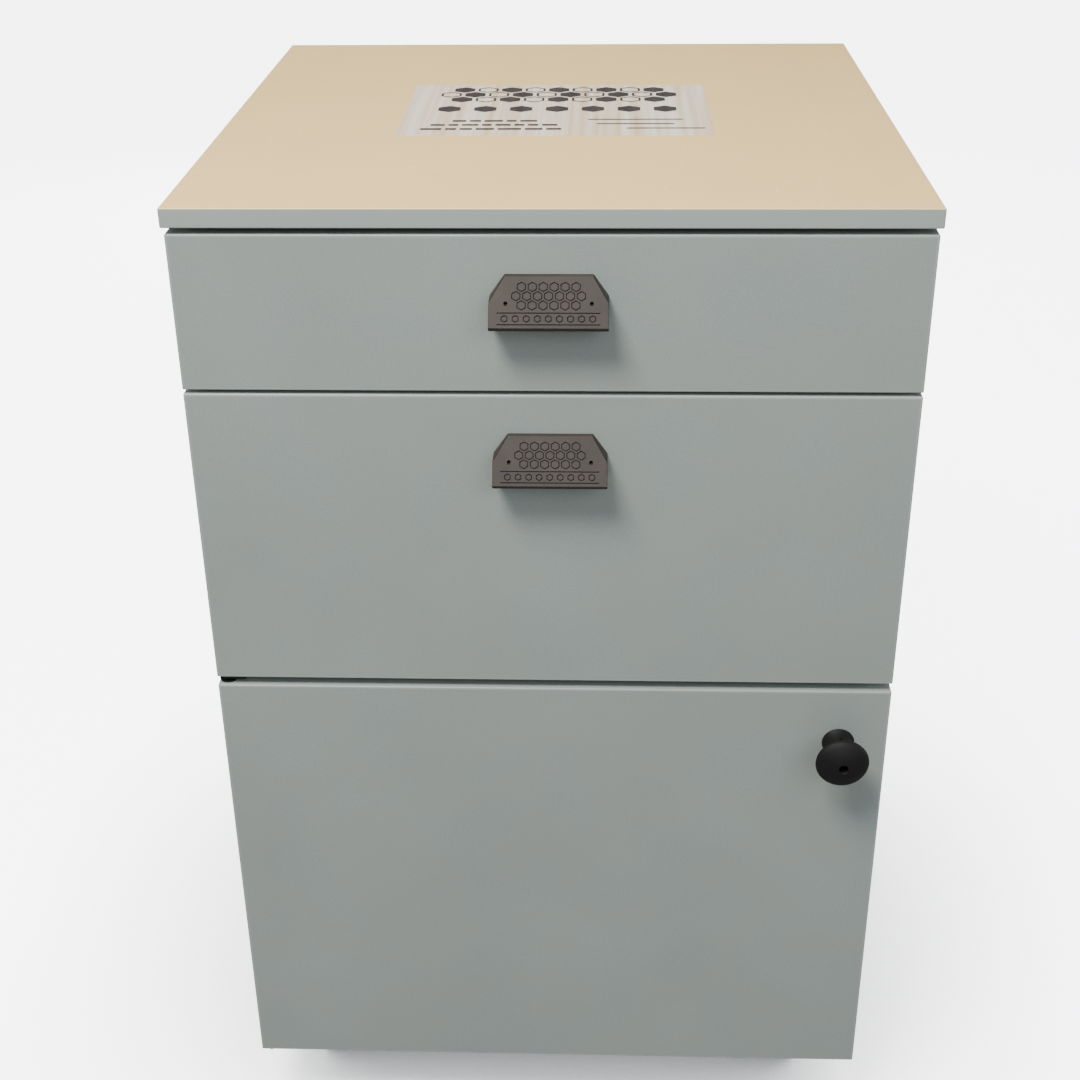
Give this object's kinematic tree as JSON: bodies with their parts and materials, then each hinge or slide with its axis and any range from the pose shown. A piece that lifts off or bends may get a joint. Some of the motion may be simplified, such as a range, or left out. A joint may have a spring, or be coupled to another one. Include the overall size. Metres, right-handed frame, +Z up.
{
  "type": "rolling pedestal cabinet",
  "caption": "Under-desk rolling pedestal: stacked drawers with cup pulls over a cupboard with a knob latch, on swivel casters.",
  "frame": {"origin": "on the floor under the middle of the whole outline", "axes": "+Z up, fronts face -Y, +X to the right seen from the front"},
  "size_m": [0.45, 0.49, 0.72],
  "materials": {
    "grey_board": "satin grey-green melamine facing on board",
    "top_board": "satin warm melamine facing on board",
    "drawer_board": "white melamine facing on board",
    "pull_print": "matt layered printed plastic",
    "knob_print": "matt black printed plastic",
    "bush_plastic": "moulded plastic",
    "zinc_steel": "zinc-plated",
    "caster_plastic": "moulded nylon",
    "wheel_plastic": "moulded nylon with a soft tread"
  },
  "bodies": {
    "cabinet": {"top_panel": "top_board", "left_side_panel": "grey_board", "right_side_panel": "grey_board", "bottom_panel": "grey_board", "back_panel": "grey_board", "divider_panel": "grey_board", "shelf": "grey_board", "shelf_pins": "zinc_steel", "cam_discs": "zinc_steel", "cam_bolts": "zinc_steel", "cabinet_runners": "zinc_steel", "carcass_screws": "zinc_steel", "upper_pivot_bracket": "zinc_steel", "lower_pivot_bracket": "zinc_steel", "pivot_pins": "zinc_steel", "strike_plate": "zinc_steel", "caster_plates": "zinc_steel", "caster_kingpins": "zinc_steel", "caster_screws": "zinc_steel"},
    "upper_drawer": {"upper_drawer_front": "grey_board", "upper_drawer_sides": "drawer_board", "upper_drawer_back": "drawer_board", "upper_drawer_bottom": "drawer_board", "upper_drawer_runners": "zinc_steel", "upper_pull": "pull_print", "upper_pull_screws": "zinc_steel"},
    "upper_middle_members": {"upper_middle_runners": "zinc_steel"},
    "lower_drawer": {"lower_drawer_front": "grey_board", "lower_drawer_sides": "drawer_board", "lower_drawer_back": "drawer_board", "lower_drawer_bottom": "drawer_board", "lower_drawer_runners": "zinc_steel", "lower_pull": "pull_print", "lower_pull_screws": "zinc_steel"},
    "lower_middle_members": {"lower_middle_runners": "zinc_steel"},
    "door": {"door_panel": "grey_board", "pivot_bushes": "bush_plastic", "latch_sleeve": "zinc_steel"},
    "knob_and_cam": {"knob": "knob_print", "latch_spindle": "zinc_steel", "latch_cam": "zinc_steel", "latch_cam_screw": "zinc_steel", "knob_grub_screw": "zinc_steel"},
    "front_left_swivel": {"front_left_caster_hood": "caster_plastic", "front_left_caster_axle": "zinc_steel"},
    "front_left_left_wheel": {"front_left_caster_left_wheel": "wheel_plastic"},
    "front_left_right_wheel": {"front_left_caster_right_wheel": "wheel_plastic"},
    "front_right_swivel": {"front_right_caster_hood": "caster_plastic", "front_right_caster_axle": "zinc_steel"},
    "front_right_left_wheel": {"front_right_caster_left_wheel": "wheel_plastic"},
    "front_right_right_wheel": {"front_right_caster_right_wheel": "wheel_plastic"},
    "rear_left_swivel": {"rear_left_caster_hood": "caster_plastic", "rear_left_caster_axle": "zinc_steel"},
    "rear_left_left_wheel": {"rear_left_caster_left_wheel": "wheel_plastic"},
    "rear_left_right_wheel": {"rear_left_caster_right_wheel": "wheel_plastic"},
    "rear_right_swivel": {"rear_right_caster_hood": "caster_plastic", "rear_right_caster_axle": "zinc_steel"},
    "rear_right_left_wheel": {"rear_right_caster_left_wheel": "wheel_plastic"},
    "rear_right_right_wheel": {"rear_right_caster_right_wheel": "wheel_plastic"}
  },
  "joints": [
    {"name": "upper_drawer_slide", "type": "slide", "parent": "cabinet", "child": "upper_drawer", "axis": [0, -1, 0], "range_m": [0, 0.38]},
    {"name": "upper_middle_slide", "type": "slide", "parent": "cabinet", "child": "upper_middle_members", "axis": [0, -1, 0], "range_m": [0, 0.19]},
    {"name": "lower_drawer_slide", "type": "slide", "parent": "cabinet", "child": "lower_drawer", "axis": [0, -1, 0], "range_m": [0, 0.38]},
    {"name": "lower_middle_slide", "type": "slide", "parent": "cabinet", "child": "lower_middle_members", "axis": [0, -1, 0], "range_m": [0, 0.19]},
    {"name": "door_hinge", "type": "hinge", "parent": "cabinet", "child": "door", "pos_m": [-0.2175, -0.205, 0.229], "axis": [0, 0, -1], "range_deg": [0, 110]},
    {"name": "knob_turn", "type": "hinge", "parent": "door", "child": "knob_and_cam", "pos_m": [0.191, -0.213, 0.354], "axis": [0, -1, 0], "range_deg": [0, 90]},
    {"name": "front_left_swivel_turn", "type": "hinge", "parent": "cabinet", "child": "front_left_swivel", "pos_m": [-0.169, -0.157, 0.05], "axis": [0, 0, 1], "continuous": true},
    {"name": "front_left_left_wheel_roll", "type": "hinge", "parent": "front_left_swivel", "child": "front_left_left_wheel", "pos_m": [-0.169, -0.137, 0.025], "axis": [1, 0, 0], "continuous": true},
    {"name": "front_left_right_wheel_roll", "type": "hinge", "parent": "front_left_swivel", "child": "front_left_right_wheel", "pos_m": [-0.169, -0.137, 0.025], "axis": [1, 0, 0], "continuous": true},
    {"name": "front_right_swivel_turn", "type": "hinge", "parent": "cabinet", "child": "front_right_swivel", "pos_m": [0.169, -0.157, 0.05], "axis": [0, 0, 1], "continuous": true},
    {"name": "front_right_left_wheel_roll", "type": "hinge", "parent": "front_right_swivel", "child": "front_right_left_wheel", "pos_m": [0.169, -0.137, 0.025], "axis": [1, 0, 0], "continuous": true},
    {"name": "front_right_right_wheel_roll", "type": "hinge", "parent": "front_right_swivel", "child": "front_right_right_wheel", "pos_m": [0.169, -0.137, 0.025], "axis": [1, 0, 0], "continuous": true},
    {"name": "rear_left_swivel_turn", "type": "hinge", "parent": "cabinet", "child": "rear_left_swivel", "pos_m": [-0.169, 0.189, 0.05], "axis": [0, 0, 1], "continuous": true},
    {"name": "rear_left_left_wheel_roll", "type": "hinge", "parent": "rear_left_swivel", "child": "rear_left_left_wheel", "pos_m": [-0.169, 0.209, 0.025], "axis": [1, 0, 0], "continuous": true},
    {"name": "rear_left_right_wheel_roll", "type": "hinge", "parent": "rear_left_swivel", "child": "rear_left_right_wheel", "pos_m": [-0.169, 0.209, 0.025], "axis": [1, 0, 0], "continuous": true},
    {"name": "rear_right_swivel_turn", "type": "hinge", "parent": "cabinet", "child": "rear_right_swivel", "pos_m": [0.169, 0.189, 0.05], "axis": [0, 0, 1], "continuous": true},
    {"name": "rear_right_left_wheel_roll", "type": "hinge", "parent": "rear_right_swivel", "child": "rear_right_left_wheel", "pos_m": [0.169, 0.209, 0.025], "axis": [1, 0, 0], "continuous": true},
    {"name": "rear_right_right_wheel_roll", "type": "hinge", "parent": "rear_right_swivel", "child": "rear_right_right_wheel", "pos_m": [0.169, 0.209, 0.025], "axis": [1, 0, 0], "continuous": true}
  ],
  "couplings": [
    {"joint": "upper_middle_slide", "follows": "upper_drawer_slide", "ratio": 0.5},
    {"joint": "lower_middle_slide", "follows": "lower_drawer_slide", "ratio": 0.5}
  ]
}
